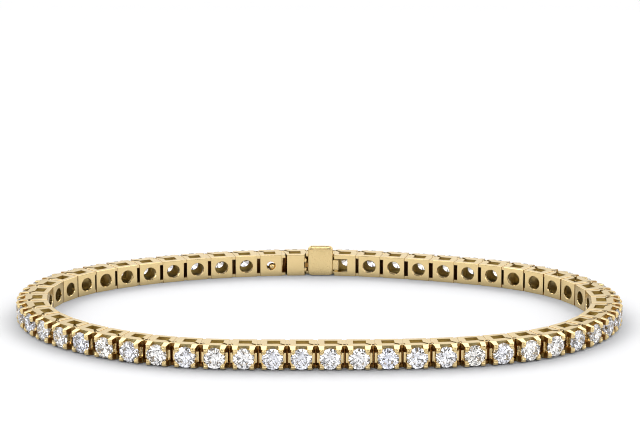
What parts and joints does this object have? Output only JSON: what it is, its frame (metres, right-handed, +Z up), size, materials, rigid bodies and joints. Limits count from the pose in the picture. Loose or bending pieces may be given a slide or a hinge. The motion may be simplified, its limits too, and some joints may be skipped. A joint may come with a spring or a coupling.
{
  "type": "tennis bracelet",
  "caption": "Closed loop of square stone-set box links with four prongs each, standing on its lower edge, with a fold-over clasp cover on the inside of the back.",
  "frame": {"origin": "middle of the bounding box, on the surface that the bracelet stands on", "axes": "+X along the oval's long side, -Y towards its front, clasp at +Y, +Z up through the wrist opening"},
  "size_m": [0.0722, 0.044, 0.0038],
  "materials": {
    "yellow_gold": "polished",
    "diamond": "polished"
  },
  "bodies": {
    "chain": {"link_string_left": "yellow_gold", "link_string_right": "yellow_gold", "clasp_hinge_link": "yellow_gold", "clasp_box_link": "yellow_gold", "clasp_receiver_link": "yellow_gold", "clasp_pin": "yellow_gold"},
    "cover": {"clasp_cover": "yellow_gold"}
  },
  "joints": [
    {"name": "cover_hinge", "type": "hinge", "parent": "chain", "child": "cover", "pos_m": [-0.00169, 0.01848, 0.00135], "axis": [0, 0, -1], "range_deg": [0, 85]}
  ]
}
